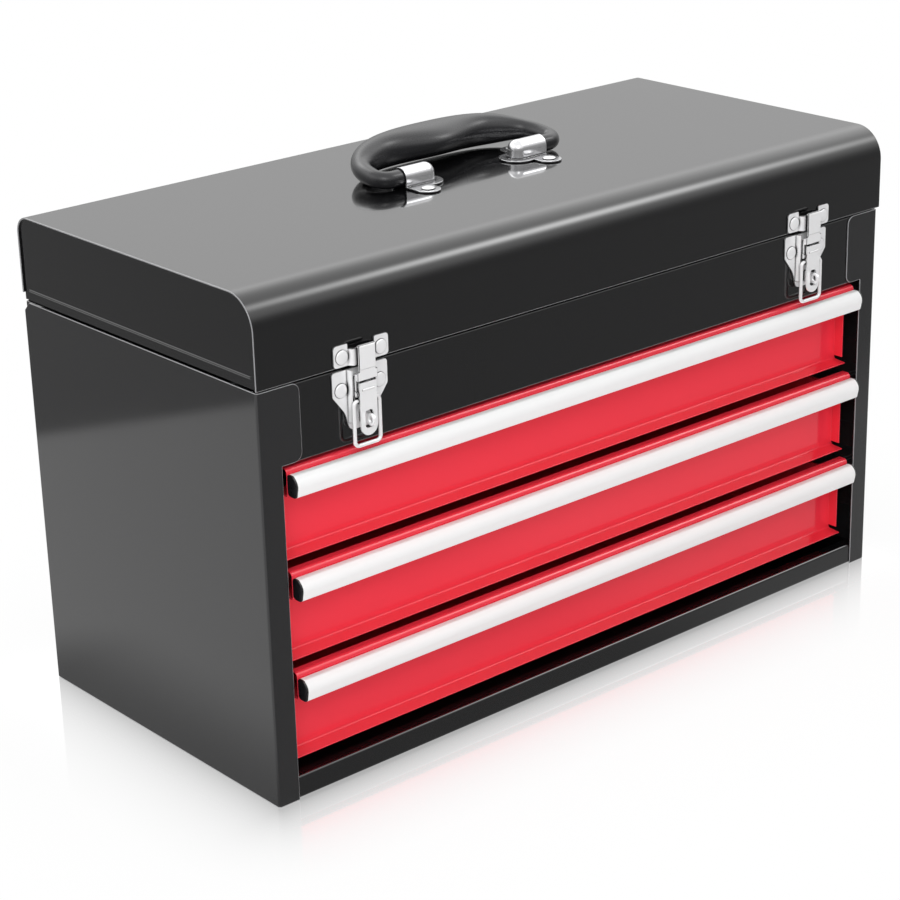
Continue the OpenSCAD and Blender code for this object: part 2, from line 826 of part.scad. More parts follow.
module handle_bracket(side) {
    handed(-side)
        color("#d9dadc")
            difference() {
                union() {
                    bracket_arch(arch_r, bracket_span / 2);
                    translate([0, 0, lid_top])
                        linear_extrude(bracket_t) {
                            translate([dome_x, leg_y])
                                circle(r = dome_rim);
                            translate([ear_x, leg_y])
                                square([2 * ear_r, 2 * ear_out], center = true);
                            for (dy = [-ear_out, ear_out])
                                translate([ear_x, leg_y + dy])
                                    circle(r = ear_r);
                        }
                }
                translate([0, 0, -1])
                    bracket_arch(leg_r + fit, bracket_span / 2 + 1);
                bracket_arch(leg_r + fit, bracket_span / 2 + 1);
                for (dy = [-ear_out, ear_out])
                    translate([ear_x, leg_y + dy, lid_top - 1])
                        cylinder(r = rivet_r + fit, h = 5);
            }
}

// ---- Rivets ----

// Rivet along -Z with its head's seat at the origin and the given grip below it
module rivet(grip) {
    ball = (rivet_head * rivet_head + rivet_up * rivet_up) / (2 * rivet_up);
    color("#d9dadc") {
        intersection() {
            translate([0, 0, rivet_up - ball])
                sphere(r = ball);
            cylinder(r = rivet_head + 1, h = rivet_up + 1);
        }
        translate([0, 0, -grip])
            cylinder(r = rivet_r, h = grip + rivet_up / 2);
        translate([0, 0, -grip - 0.8])
            cylinder(r = rivet_r + 0.9, h = 0.8);
    }
}

module handle_rivets() {
    for (x = [-ear_x, ear_x], dy = [-ear_out, ear_out])
        translate([x, leg_y + dy, lid_top + bracket_t])
            rivet(bracket_t + sheet);
}

module keeper_rivets() {
    for (x = [-latch_x, latch_x], dx = [-rivet_x, rivet_x])
        translate([x + dx, keeper_y - latch_t, keeper_mid])
            rotate([90, 0, 0])
                rivet(latch_t + sheet);
}

module base_rivets() {
    for (x = [-latch_x, latch_x], dx = [-rivet_x, rivet_x])
        translate([x + dx, latch_y - latch_t, base_rivet_z])
            rotate([90, 0, 0])
                rivet(latch_t + sheet);
}

// ---- The nodes ----

side_panel(-1);  // left_side_panel
side_panel(1);  // right_side_panel
back_panel();
bottom_pan();
front_panel();
compartment_floor();
runner(1, -1);  // runner_1_left
runner(1, 1);  // runner_1_right
runner(2, -1);  // runner_2_left
runner(2, 1);  // runner_2_right
runner(3, -1);  // runner_3_left
runner(3, 1);  // runner_3_right
drawer_front(1);  // drawer_1_front
drawer_front(2);  // drawer_2_front
drawer_front(3);  // drawer_3_front
drawer_tray(1);  // drawer_1_tray
drawer_tray(2);  // drawer_2_tray
drawer_tray(3);  // drawer_3_tray
drawer_pull(1);  // drawer_1_pull
drawer_pull(2);  // drawer_2_pull
drawer_pull(3);  // drawer_3_pull
drawer_plugs(1);  // drawer_1_plugs
drawer_plugs(2);  // drawer_2_plugs
drawer_plugs(3);  // drawer_3_plugs
lid_shell();
lid_end(-1);  // lid_left_end
lid_end(1);  // lid_right_end
hinge_body_leaf();
hinge_lid_leaf();
hinge_pin();
keeper(-1);  // keeper_left
keeper(1);  // keeper_right
latch_base(-1);  // latch_base_left
latch_base(1);  // latch_base_right
latch_lever(-1);  // latch_lever_left
latch_lever(1);  // latch_lever_right
lever_pin(-1);  // lever_pin_left
lever_pin(1);  // lever_pin_right
latch_hook(-1);  // latch_hook_left
latch_hook(1);  // latch_hook_right
hook_pin(-1);  // hook_pin_left
hook_pin(1);  // hook_pin_right
latch_bail(-1);  // latch_bail_left
latch_bail(1);  // latch_bail_right
staple(-1);  // staple_left
staple(1);  // staple_right
handle();
handle_bracket(-1);  // handle_bracket_left
handle_bracket(1);  // handle_bracket_right
handle_rivets();
keeper_rivets();
base_rivets();
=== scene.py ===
import json
import math
import bmesh
import bpy
from mathutils import Matrix, Vector


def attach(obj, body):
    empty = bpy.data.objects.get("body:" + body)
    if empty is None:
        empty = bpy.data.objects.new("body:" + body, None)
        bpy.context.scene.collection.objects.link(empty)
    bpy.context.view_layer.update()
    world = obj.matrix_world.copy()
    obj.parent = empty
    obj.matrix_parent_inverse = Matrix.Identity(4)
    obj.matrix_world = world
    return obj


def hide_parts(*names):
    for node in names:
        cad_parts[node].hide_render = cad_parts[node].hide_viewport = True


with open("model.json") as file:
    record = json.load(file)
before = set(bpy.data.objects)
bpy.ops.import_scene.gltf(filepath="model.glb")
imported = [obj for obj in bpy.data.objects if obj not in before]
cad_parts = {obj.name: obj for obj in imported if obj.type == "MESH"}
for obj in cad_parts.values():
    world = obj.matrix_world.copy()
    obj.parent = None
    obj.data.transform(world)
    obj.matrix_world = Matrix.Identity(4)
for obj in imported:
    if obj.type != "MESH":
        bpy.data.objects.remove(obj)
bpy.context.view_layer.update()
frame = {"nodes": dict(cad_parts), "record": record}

mm = 0.001


# sRGB hex to the linear values that Blender's sockets take
def linear(hexColour):
    parts = [int(hexColour[i:i + 2], 16) / 255 for i in (1, 3, 5)]
    return tuple(c / 12.92 if c <= 0.04045 else ((c + 0.055) / 1.055) ** 2.4 for c in parts) + (1.0,)


# Adds a node: values sets or links its inputs by name or number, settings are its own properties
def addNode(tree, kind, values=None, **settings):
    made = tree.nodes.new(kind)
    for key, value in settings.items():
        setattr(made, key, value)
    for key, value in (values or {}).items():
        if isinstance(value, bpy.types.NodeSocket):
            tree.links.new(value, made.inputs[key])
        else:
            made.inputs[key].default_value = value
    return made


def steps(tree, value, low, high):
    return addNode(tree, "ShaderNodeMapRange", {"Value": value, "From Min": low, "From Max": high},
                   interpolation_type="SMOOTHSTEP").outputs[0]


def blend(tree, share, a, b):
    return addNode(tree, "ShaderNodeMix", {0: share, 2: a, 3: b}, data_type="FLOAT").outputs[0]


def sums(tree, kind, a, b=0.0, c=0.0):
    return addNode(tree, "ShaderNodeMath", {0: a, 1: b, 2: c}, operation=kind).outputs[0]


def startMaterial(name):
    material = bpy.data.materials.new(name)
    material.use_nodes = True
    material.node_tree.nodes.clear()
    place = addNode(material.node_tree, "ShaderNodeTexCoord").outputs["Object"]
    return material, material.node_tree, place


def endMaterial(material, tree, shader):
    addNode(tree, "ShaderNodeOutputMaterial", {"Surface": shader.outputs[0]})
    return material


noiseMiddle = (0.3, 0.7)    # nearly all of a noise's values lie between these
resinIor = 1.5


def noise(tree, place, scale, detail):
    return addNode(tree, "ShaderNodeTexNoise", {"Vector": place, "Scale": scale, "Detail": detail})


# Noise drawn out along X, with its scales per metre along and across
def drawnNoise(tree, place, along, across, detail):
    stretched = addNode(tree, "ShaderNodeMapping", {"Vector": place, "Scale": (along, across, across)})
    return noise(tree, stretched.outputs[0], 1.0, detail)


# Spreads a noise over a range of roughness
def glossFrom(tree, source, limits):
    return addNode(tree, "ShaderNodeMapRange", {
        "Value": source.outputs["Fac"], "From Min": noiseMiddle[0], "From Max": noiseMiddle[1],
        "To Min": limits[0], "To Max": limits[1]}).outputs[0]


# Bump from a noise, its height in mm
def reliefFrom(tree, source, strength, height):
    return addNode(tree, "ShaderNodeBump", {"Height": source.outputs["Fac"], "Strength": strength,
                                            "Distance": height * mm}).outputs[0]


# Stoved enamel on sheet steel: sprayed, so it levels to a deep gloss with a faint orange peel
enamel = {
    "blackColour": "#0c0c0d",
    # painted light: the side panels get the same black enamel painted lighter, for the light they catch
    "sidePaintedLightColour": "#202021",
    "redColour": "#ef3647",
    "edgeHighlightColour": "#8c8c8e",    # painted highlight: the sheet's cut edges are painted light grey, a light line along each edge
    "peelSize": 2.4,        # mm across one swell of the peel
    "peelHeight": 0.012,    # mm
    "roughness": (0.06, 0.11),
    "coatRoughness": 0.03,
    "cloudScale": 14.0,     # swells of gloss about 70 mm across
}


def stovedEnamel(name, colour, coat):
    material, tree, place = startMaterial(name)
    swell = noise(tree, place, 1 / (enamel["peelSize"] * mm), 1.0)
    cloud = noise(tree, place, enamel["cloudScale"], 2.0)
    shader = addNode(tree, "ShaderNodeBsdfPrincipled", {
        "Base Color": linear(colour), "Roughness": glossFrom(tree, cloud, enamel["roughness"]),
        "IOR": resinIor, "Normal": reliefFrom(tree, swell, 0.5, enamel["peelHeight"]),
        "Coat Weight": coat, "Coat Roughness": enamel["coatRoughness"], "Coat IOR": resinIor})
    return endMaterial(material, tree, shader)


# Extruded aluminium, satin anodised: fine lines along its length, near white
anodised = {"colour": "#f3f3f3", "metallic": 0.1, "lineWidth": 0.35, "lineLength": 62.5,
            "lineHeight": 0.004, "roughness": (0.48, 0.60)}


def satinAluminium():
    material, tree, place = startMaterial("satin_anodised_aluminium")
    lines = drawnNoise(tree, place, 1 / (anodised["lineLength"] * mm), 1 / (anodised["lineWidth"] * mm), 2.0)
    shader = addNode(tree, "ShaderNodeBsdfPrincipled", {
        "Base Color": linear(anodised["colour"]), "Metallic": anodised["metallic"],
        "Roughness": glossFrom(tree, lines, anodised["roughness"]),
        "Normal": reliefFrom(tree, lines, 0.4, anodised["lineHeight"])})
    return endMaterial(material, tree, shader)


# Stamped steel, barrel plated in pearl nickel: nearly white, soft gloss, faintly wavy like any pressing
plated = {"colour": "#fbfbfc", "metallic": 0.32, "waveSize": 5.0, "waveHeight": 0.02,
          "roughness": (0.16, 0.26)}
# painted shade: the plating is darkened within 2.6 mm of the next part, a dark line round each part
creviceShade = {"colour": "#0c0c0e", "reach": 2.6, "open": (0.56, 0.90), "samples": 12}
# the drawn handle brackets are polished before plating, so they mirror the room
bright = {"colour": "#f0f0f2", "metallic": 0.9, "waveSize": 7.0, "waveHeight": 0.03,
          "roughness": (0.10, 0.17)}
# cut edges of the pressings, painted near black: a painted reflection of the black enamel beside them, a dark
# line round each part
paintedDarkEdge = {"colour": "#0e0e10", "metallic": 0.3, "waveSize": 1.2, "waveHeight": 0.01,
           "roughness": (0.3, 0.45)}


def platedSteel(name, plating):
    material, tree, place = startMaterial(name)
    wave = noise(tree, place, 1 / (plating["waveSize"] * mm), 1.0)
    # painted shade: ambient occlusion darkens the colour in creases and next to other parts
    free = addNode(tree, "ShaderNodeAmbientOcclusion", {"Distance": creviceShade["reach"] * mm},
                   samples=creviceShade["samples"])
    unshaded = steps(tree, free.outputs["AO"], *creviceShade["open"])
    colour = addNode(tree, "ShaderNodeMix", {0: unshaded, 6: linear(creviceShade["colour"]),
                                             7: linear(plating["colour"])}, data_type="RGBA")
    shader = addNode(tree, "ShaderNodeBsdfPrincipled", {
        "Base Color": colour.outputs[2], "Metallic": plating["metallic"],
        "Roughness": glossFrom(tree, wave, plating["roughness"]),
        "Normal": reliefFrom(tree, wave, 0.5, plating["waveHeight"])})
    return endMaterial(material, tree, shader)


# Zinc electroplated strip: duller and greyer, with a fine rolled grain
zinc = {"colour": "#b4b7bb", "grainWidth": 0.8, "roughness": (0.28, 0.4),
        "grainAlong": 60.0}     # grain marks per metre, each about 17 mm long


def zincPlatedStrip():
    material, tree, place = startMaterial("zinc_plated_rolled_steel")
    grain = drawnNoise(tree, place, zinc["grainAlong"], 1 / (zinc["grainWidth"] * mm), 3.0)
    shader = addNode(tree, "ShaderNodeBsdfPrincipled", {
        "Base Color": linear(zinc["colour"]), "Metallic": 1.0,
        "Roughness": glossFrom(tree, grain, zinc["roughness"])})
    return endMaterial(material, tree, shader)


# Moulded polypropylene: satin black with an even spark-eroded grain
moulded = {"colour": "#17171a", "grainHeight": 0.012, "roughness": (0.26, 0.34), "coat": 0.5,
           "coatRoughness": 0.25,
           "grainSize": 0.7}    # such a grain is about 0.3 mm, drawn larger so that it shows


def mouldedPolypropylene():
    material, tree, place = startMaterial("moulded_black_polypropylene")
    grain = noise(tree, place, 1 / (moulded["grainSize"] * mm), 2.0)
    shader = addNode(tree, "ShaderNodeBsdfPrincipled", {
        "Base Color": linear(moulded["colour"]), "Roughness": glossFrom(tree, grain, moulded["roughness"]),
        "IOR": resinIor, "Normal": reliefFrom(tree, grain, 0.5, moulded["grainHeight"]),
        "Coat Weight": moulded["coat"], "Coat Roughness": moulded["coatRoughness"], "Coat IOR": resinIor})
    return endMaterial(material, tree, shader)


blackEnamel = stovedEnamel("black_stoved_enamel", enamel["blackColour"], 1.0)
# light grey enamel for the cut edges: a painted highlight
edgeEnamelPaintedLight = stovedEnamel("black_enamel_edges_painted_light", enamel["edgeHighlightColour"], 1.0)
# a lighter copy of the black enamel for the side panels: painted light
sideEnamelPaintedLighter = stovedEnamel("black_enamel_sides_painted_lighter", enamel["sidePaintedLightColour"], 1.0)
redEnamel = stovedEnamel("red_stoved_enamel", enamel["redColour"], 0.5)
aluminium = satinAluminium()
nickel = platedSteel("pearl_nickel_plated_pressed_steel", plated)
# painted reflection: the latch parts' rounded cut edges are painted near black
nickelEdgePaintedDark = platedSteel("nickel_edge_painted_dark", paintedDarkEdge)
brightNickel = platedSteel("polished_nickel_plated_drawn_steel", bright)
zincSteel = zincPlatedStrip()
blackPlastic = mouldedPolypropylene()
slotMaterials = {"black_enamel": blackEnamel, "red_enamel": redEnamel, "trim_aluminium": aluminium,
                 "chrome": nickel, "zinc_steel": zincSteel, "black_plastic": blackPlastic}
print("materials made")


nodeSlot = {part["node"]: part["material_slot"] for part in frame["record"]["subparts"]}
nodeBody = {node: body for body, nodes in frame["record"]["behaviour"]["bodies"].items() for node in nodes}
for nodeName, cadObject in frame["nodes"].items():
    cadObject.data.materials.clear()
    # the side panels get the lighter copy of the enamel: painted light
    isSide = nodeName.endswith("_side_panel")
    isArch = nodeName.startswith("handle_bracket")
    cadObject.data.materials.append(sideEnamelPaintedLighter if isSide else brightNickel if isArch
                                    else slotMaterials[nodeSlot[nodeName]])


# Gives a finished object its material, body and the nodes it stands for
def settle(made, *nodeNames):
    slotName = nodeSlot[nodeNames[0]]
    if not made.data.materials:
        made.data.materials.append(slotMaterials[slotName])
    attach(made, nodeBody[nodeNames[0]])
    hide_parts(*nodeNames)
    return made


def newObject(name, mesh):
    made = bpy.data.objects.new(name, mesh)
    bpy.context.collection.objects.link(made)
    return made


# Rounds the sheet's cut edges and keeps its flats flat
def roundEdges(made, width, segments=2, angle=30, edgeMaterial=None):
    made.data.shade_smooth()
    bevel = made.modifiers.new("roundedEdges", "BEVEL")
    bevel.width = width * mm
    if edgeMaterial:
        made.data.materials.append(edgeMaterial)
        bevel.material = 1
    bevel.segments = segments
    bevel.limit_method = "ANGLE"
    bevel.angle_limit = math.radians(angle)
    bevel.miter_outer = "MITER_ARC"
    flats = made.modifiers.new("flatFaces", "WEIGHTED_NORMAL")
    flats.keep_sharp = True
    flats.weight = 80


mergeWithin = 0.002     # mm
flatWithin = 0.6        # degrees between faces that count as one flat


# A copy of a node's own shape, merged and with its edges rounded
def dressed(nodeName, width, segments=2, angle=30, edgeMaterial=None):
    shape = bmesh.new()
    shape.from_mesh(frame["nodes"][nodeName].data)
    bmesh.ops.remove_doubles(shape, verts=shape.verts, dist=mergeWithin * mm)
    bmesh.ops.dissolve_limit(shape, angle_limit=math.radians(flatWithin), verts=shape.verts,
                             edges=shape.edges)
    mesh = bpy.data.meshes.new(nodeName + "_mesh")
    shape.to_mesh(mesh)
    shape.free()
    mesh.materials.clear()
    mesh.materials.append(frame["nodes"][nodeName].data.materials[0])
    made = newObject(nodeName + "_piece", mesh)
    roundEdges(made, width, segments, angle, edgeMaterial)
    return settle(made, nodeName)


leastTurn = 0.01                # radians, a smaller turn counts as straight
flatKeep, flatShare = 0.5, 0.3  # mm past a bend's end, or this share of a small bend's radius


# Points of the bend at b between a and c, each with the direction to its left.
# A point just outside each end of the bend keeps the flats flat.
def bendPoints(a, b, c, radius, step=5):
    u, w = (b - a).normalized(), (c - b).normalized()
    left = lambda v: Vector((-v.y, v.x))
    turn = u.cross(w)
    angle = math.acos(max(-1.0, min(1.0, u.dot(w))))
    if radius == 0 or angle < leastTurn:
        return [(b, (left(u) + left(w)) / (1 + u.dot(w)))]
    side = 1 if turn > 0 else -1
    run = radius * math.tan(angle / 2)
    centre = b - u * run + left(u) * side * radius
    count = max(3, round(math.degrees(angle) / step))
    points = []
    for k in range(count + 1):
        normal = left(u).copy()
        normal.rotate(Matrix.Rotation(side * angle * k / count, 2))
        points.append((centre - side * radius * normal, normal))
    keep = min(flatKeep * mm, flatShare * radius)
    if (b - a).length > run + 3 * keep:
        points.insert(0, (b - u * (run + keep), left(u)))
    if (c - b).length > run + 3 * keep:
        points.append((b + w * (run + keep), left(w)))
    return points


def foldPoints(path):
    spots = [Vector(p[:2]) for p in path]
    left = lambda v: Vector((-v.y, v.x)).normalized()
    points = [(spots[0], left(spots[1] - spots[0]))]
    for i in range(1, len(spots) - 1):
        points += bendPoints(spots[i - 1], spots[i], spots[i + 1], path[i][2] if len(path[i]) > 2 else 0)
    return points + [(spots[-1], left(spots[-1] - spots[-2]))]


def sheetSection(path, thick):
    points = foldPoints(path)
    return [p for p, n in points] + [p + thick * n for p, n in reversed(points)]


def roundedOutline(path, step=6):
    spots = [Vector(p[:2]) for p in path]
    count = len(spots)
    section = []
    for i in range(count):
        radius = path[i][2] if len(path[i]) > 2 else 0
        section += [p for p, n in bendPoints(spots[i - 1], spots[i], spots[(i + 1) % count], radius, step)]
    return section


# Carries a flat section from one end to the other; spot gives a section point's place at an end
def carried(shape, section, ends, spot):
    rims = [[shape.verts.new(spot(p, end)) for p in section] for end in ends]
    count = len(section)
    for k in range(count):
        n = (k + 1) % count
        shape.faces.new((rims[0][k], rims[0][n], rims[1][n], rims[1][k]))
    shape.faces.new(rims[0])
    shape.faces.new(rims[1])


# a Y-Z section
def alongX(shape, section, *ends):
    carried(shape, section, ends, lambda p, x: (x, p.x, p.y))


# an X-Z section
def alongY(shape, section, *ends):
    carried(shape, section, ends, lambda p, y: (p.x, y, p.y))


# an X-Y section
def alongZ(shape, section, *ends):
    carried(shape, section, ends, lambda p, z: (p.x, p.y, z))


def addBlock(shape, low, high):
    corners = [shape.verts.new((x, y, z)) for x in (low[0], high[0]) for y in (low[1], high[1])
               for z in (low[2], high[2])]
    for face in ((0, 1, 3, 2), (4, 6, 7, 5), (0, 4, 5, 1), (2, 3, 7, 6), (0, 2, 6, 4), (1, 5, 7, 3)):
        shape.faces.new([corners[i] for i in face])


def finishMesh(shape, name):
    bmesh.ops.recalc_face_normals(shape, faces=shape.faces)
    mesh = bpy.data.meshes.new(name + "_mesh")
    shape.to_mesh(mesh)
    shape.free()
    return newObject(name, mesh)


# Starts a Geometry Nodes tree with named inputs
def startTree(name, inputs):
    tree = bpy.data.node_groups.new(name, "GeometryNodeTree")
    tree.is_modifier = True
    tree.interface.new_socket("Geometry", in_out="OUTPUT", socket_type="NodeSocketGeometry")
    for label, kind in (("Geometry", "Geometry"),) + inputs + (("Material", "Material"),):
        tree.interface.new_socket(label, in_out="INPUT", socket_type="NodeSocket" + kind)
    return tree, addNode(tree, "NodeGroupInput").outputs


def endTree(tree, shape, material):
    whole = addNode(tree, "GeometryNodeRealizeInstances", {"Geometry": shape})
    coated = addNode(tree, "GeometryNodeSetMaterial", {"Geometry": whole.outputs[0], "Material": material})
    addNode(tree, "NodeGroupOutput", {"Geometry": coated.outputs[0]})
    return tree


def joined(tree, *shapes):
    made = addNode(tree, "GeometryNodeJoinGeometry")
    for shape in shapes:
        tree.links.new(shape, made.inputs[0])
    return made.outputs[0]


def moved(tree, made, place):
    return addNode(tree, "GeometryNodeTransform", {"Geometry": made.outputs[0],
                                                   "Translation": place.outputs[0]})


# Runs a tree on a mesh and keeps the result as a plain object
def grown(name, mesh, tree, values):
    carrier = newObject(name + "_carrier", mesh)
    grow = carrier.modifiers.new("grow", "NODES")
    grow.node_group = tree
    for item in tree.interface.items_tree:
        if item.in_out == "INPUT" and item.name in values:
            grow[item.identifier] = values[item.name]
    view = bpy.context.evaluated_depsgraph_get()
    plain = bpy.data.meshes.new_from_object(carrier.evaluated_get(view), depsgraph=view)
    carrier.modifiers.remove(grow)
    bpy.data.objects.remove(carrier)
    return newObject(name, plain)


cabinetEdges = {"panels": 0.45, "pan": 0.35, "inside": 0.25}   # mm, radius left on the sheet's edges

# the side panels' cut edges carry the painted highlight
for nodeName in ("left_side_panel", "right_side_panel"):
    dressed(nodeName, cabinetEdges["panels"], edgeMaterial=edgeEnamelPaintedLight)
for nodeName in ("back_panel", "front_panel"):
    dressed(nodeName, cabinetEdges["panels"])
dressed("bottom_pan", cabinetEdges["pan"])
dressed("compartment_floor", cabinetEdges["inside"])
for number in (1, 2, 3):
    for side in ("left", "right"):
        dressed("runner_%d_%s" % (number, side), cabinetEdges["inside"])
print("cabinet dressed")


# One sheet folded over the front, top and back; sizes in mm
lid = {"half": 261.0, "front": -120.0, "back": 118.0, "bottom": 257.2, "top": 311.0, "skirt": 262.0,
       "frontRadius": 21.0, "backRadius": 11.0, "sheet": 1.0, "hem": 8.0, "hemStart": 0.5, "hemInset": 10.0,
       "edge": 0.45, "endEdge": 0.7}


def makeLidShell():
    path = [(lid["front"] * mm, lid["bottom"] * mm),
            (lid["front"] * mm, lid["top"] * mm, lid["frontRadius"] * mm),
            (lid["back"] * mm, lid["top"] * mm, lid["backRadius"] * mm),
            (lid["back"] * mm, lid["skirt"] * mm)]
    shape = bmesh.new()
    alongX(shape, sheetSection(path, -lid["sheet"] * mm), -lid["half"] * mm, lid["half"] * mm)
    hemHalf = (lid["half"] - lid["hemInset"]) * mm
    addBlock(shape, (-hemHalf, (lid["front"] + lid["hemStart"]) * mm, lid["bottom"] * mm),
             (hemHalf, (lid["front"] + lid["hem"]) * mm, (lid["bottom"] + lid["sheet"]) * mm))
    made = finishMesh(shape, "lid_shell_piece")
    made.data.materials.append(blackEnamel)
    # the lid's cut edges carry the painted highlight
    roundEdges(made, lid["edge"], edgeMaterial=edgeEnamelPaintedLight)
    return settle(made, "lid_shell")


makeLidShell()
for nodeName in ("lid_left_end", "lid_right_end"):
    dressed(nodeName, lid["endEdge"])
print("lid made")


drawers = {"bottoms": (22.4, 85.6, 148.8), "frontEdge": 0.3, "trayEdge": 0.2,
           "pullHalf": 239.8, "pullLow": 41.5, "pullHigh": 13.1, "pullBack": -117.0, "pullFront": -126.0,
           "pullSlant": 1.6, "pullTop": -121.94, "pullNose": 0.3, "pullNoseAt": 0.68,
           "pullRadii": (2.5, 2.0, 6.0, 2.5, 2.0), "pullEdge": 0.15, "plugEdge": 0.3}


def makePull(number, bottom):
    low = bottom + drawers["pullLow"]
    high = low + drawers["pullHigh"]
    back, front = drawers["pullBack"], drawers["pullFront"]
    nose = low + drawers["pullNoseAt"] * drawers["pullHigh"]
    spots = [(back, low), (front + drawers["pullSlant"], low), (front - drawers["pullNose"], nose),
             (drawers["pullTop"], high), (back, high)]
    shape = bmesh.new()
    section = roundedOutline([(y * mm, z * mm, r * mm) for (y, z), r in zip(spots, drawers["pullRadii"])])
    alongX(shape, section, -drawers["pullHalf"] * mm, drawers["pullHalf"] * mm)
    made = finishMesh(shape, "drawer_%d_pull_piece" % number)
    roundEdges(made, drawers["pullEdge"])
    return settle(made, "drawer_%d_pull" % number)


for number, bottom in enumerate(drawers["bottoms"], 1):
    dressed("drawer_%d_front" % number, drawers["frontEdge"])
    dressed("drawer_%d_tray" % number, drawers["trayEdge"])
    dressed("drawer_%d_plugs" % number, drawers["plugEdge"])
    makePull(number, bottom)
print("drawers made")


# Moulded handle, in mm: a loop swept round from one bracket to the other, thick and swollen inwards at
# the grip
handle = {"legR": 5.2, "startR": 5.5, "armR": 6.2, "gripR": 10.6, "swell": 10.0, "swellHalf": 48.0,
          "gripLow": 1.2,       # how much deeper the grip's underside is than its top
          "half": 73.5, "reach": 45.5, "corner": 8.0, "power": 2.45, "legY": -3.0, "legZ": 317.3,
          "lidTop": 311.0, "gap": 2.5, "legStart": 40.5, "loopStart": 60.5, "shoulder": 1.0,
          "sides": 40, "cornerRings": 10, "loopRings": 44, "endEdge": 0.2}


def eased(share):
    share = max(0.0, min(1.0, share))
    return share * share * (3 - 2 * share)


def handleLine():
    corner, half, legY = handle["corner"], handle["half"], handle["legY"]
    start = handle["loopStart"]
    line = [(handle["legStart"], legY), (start - handle["shoulder"], legY), (start, legY)]
    for k in range(handle["cornerRings"]):
        a = math.radians(90 * k / handle["cornerRings"])
        line.append((half - corner + corner * math.sin(a), legY + corner * (1 - math.cos(a))))
    for k in range(handle["loopRings"] + 1):
        a = math.radians(90 * k / handle["loopRings"])
        line.append((half * max(0.0, math.cos(a)) ** (2 / handle["power"]),
                     legY + corner + (handle["reach"] - corner) * math.sin(a) ** (2 / handle["power"])))
    return line + [(-x, y) for x, y in line[-2::-1]]


def makeHandle():
    line = handleLine()
    shape = bmesh.new()
    rings = []
    for k, (x, y) in enumerate(line):
        # three rings at each end are on the straight legs, and the last two of them in the brackets
        straight = k < 3 or k > len(line) - 4
        share = (y - handle["legY"]) / handle["reach"]
        high = handle["startR"] + (handle["armR"] - handle["startR"]) * min(1.0, 2 * share)
        high += (handle["gripR"] - handle["armR"]) * eased(2 * share - 1)
        if k < 2 or k > len(line) - 3:
            high = handle["legR"]
        inner = high + handle["swell"] * eased(1 - abs(x) / handle["swellHalf"]) * (0 if straight else 1)
        rise = (handle["lidTop"] + handle["gripR"] + handle["gap"] - handle["legZ"]) * share
        before, after = line[max(0, k - 1)], line[min(len(line) - 1, k + 1)]
        along = Vector((after[0] - before[0], after[1] - before[1])).normalized()
        if straight:
            along = Vector((1, 0))
        ring = []
        for j in range(handle["sides"]):
            a = 2 * math.pi * j / handle["sides"]
            out = (inner if math.cos(a) > 0 else high) * math.cos(a)
            low = handle["gripLow"] * eased(2 * share - 1) if math.sin(a) < 0 else 0.0
            ring.append(shape.verts.new(((x - along.y * out) * mm, (y + along.x * out) * mm,
                                         (handle["legZ"] + rise + (high + low) * math.sin(a)) * mm)))
        rings.append(ring)
    for one, two in zip(rings, rings[1:]):
        for j in range(handle["sides"]):
            n = (j + 1) % handle["sides"]
            shape.faces.new((one[j], one[n], two[n], two[j]))
    shape.faces.new(rings[0])
    shape.faces.new(rings[-1])
    made = finishMesh(shape, "handle_piece")
    roundEdges(made, handle["endEdge"])
    return settle(made, "handle")


makeHandle()
print("handle made")


fittings = {"latch_base": 0.38, "latch_bail": 0.08, "staple": 0.2, "handle_bracket": 0.2, "lever_pin": 0.2,
            "hook_pin": 0.2}

# the latch bases' cut edges are painted near black, a painted reflection
for kind, width in fittings.items():
    for side in ("left", "right"):
        dressed(kind + "_" + side, width, edgeMaterial=nickelEdgePaintedDark if kind == "latch_base" else None)
print("fittings dressed")

# Latch details, in mm from the latch's middle line
latch = {"places": (-188.0, 188.0), "half": 20.0, "sheet": 1.0, "keeperY": -120.0, "keeperLow": 257.5,
         "keeperHigh": 13.5, "corner": 2.5, "earEdge": 9.3, "hatFoot": 8.9, "hatTop": 7.3, "hatUp": 2.6,
         "hatDrop": 3.2, "edge": 0.36, "leverEdge": 0.38, "leverFront": -126.4, "hookHalf": 5.8,
         "lip": (255.3, 269.2), "lipOut": 0.55, "rib": (242.3, 243.7), "ribHalf": 4.4, "ribOut": 0.4,
         "pinY": -123.2, "pinZ": 240.6, "pinSide": 6.85, "pinHead": 1.9, "pinUp": 0.45, "barEdge": 0.15,
         "pinEdge": 0.18, "earCorners": (0.4, 1.2), "hatToe": 1.2, "hatBends": (1.3, 0.5),
         "lipInset": 0.3, "lipCorner": 0.5, "ribCorner": 0.6,
         "earProud": 0.02,      # keeps the ears' faces off the raised middle's
         "barRoot": 0.3,        # how deep a pressed bar starts inside its part
         "bendStep": 15}        # degrees between the points of a small bend


